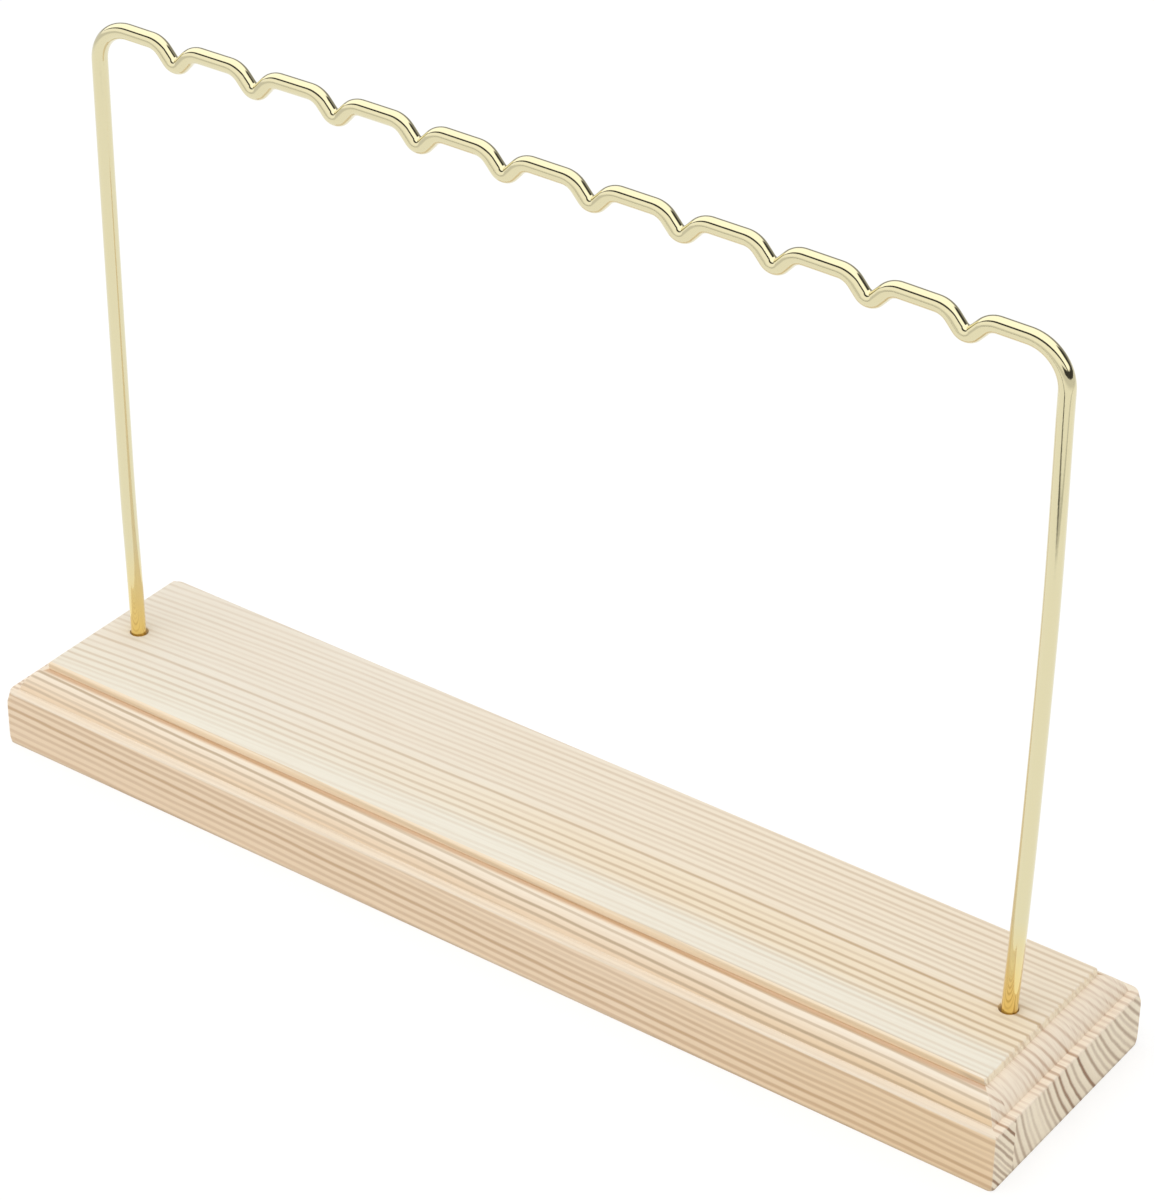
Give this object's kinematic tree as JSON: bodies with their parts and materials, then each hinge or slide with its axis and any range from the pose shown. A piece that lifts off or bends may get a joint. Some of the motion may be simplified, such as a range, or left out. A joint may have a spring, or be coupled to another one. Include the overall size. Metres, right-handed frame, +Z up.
{
  "type": "earring display stand",
  "caption": "Tabletop stand for earrings: a flat wooden base with a moulded edge carries a bent gold wire frame whose level top bar is notched to keep the hooks apart.",
  "frame": {"origin": "centre of the base's underside, on the table", "axes": "+X along the length of the base, +Y from its front edge to its back edge, +Z up"},
  "size_m": [0.26, 0.058, 0.1738],
  "materials": {
    "pine": "planed and sanded, unvarnished, matte",
    "plated_wire": "bright pale gold plating, glossy"
  },
  "bodies": {
    "root": {"wooden_base": "pine", "wire_frame": "plated_wire"}
  },
  "joints": []
}
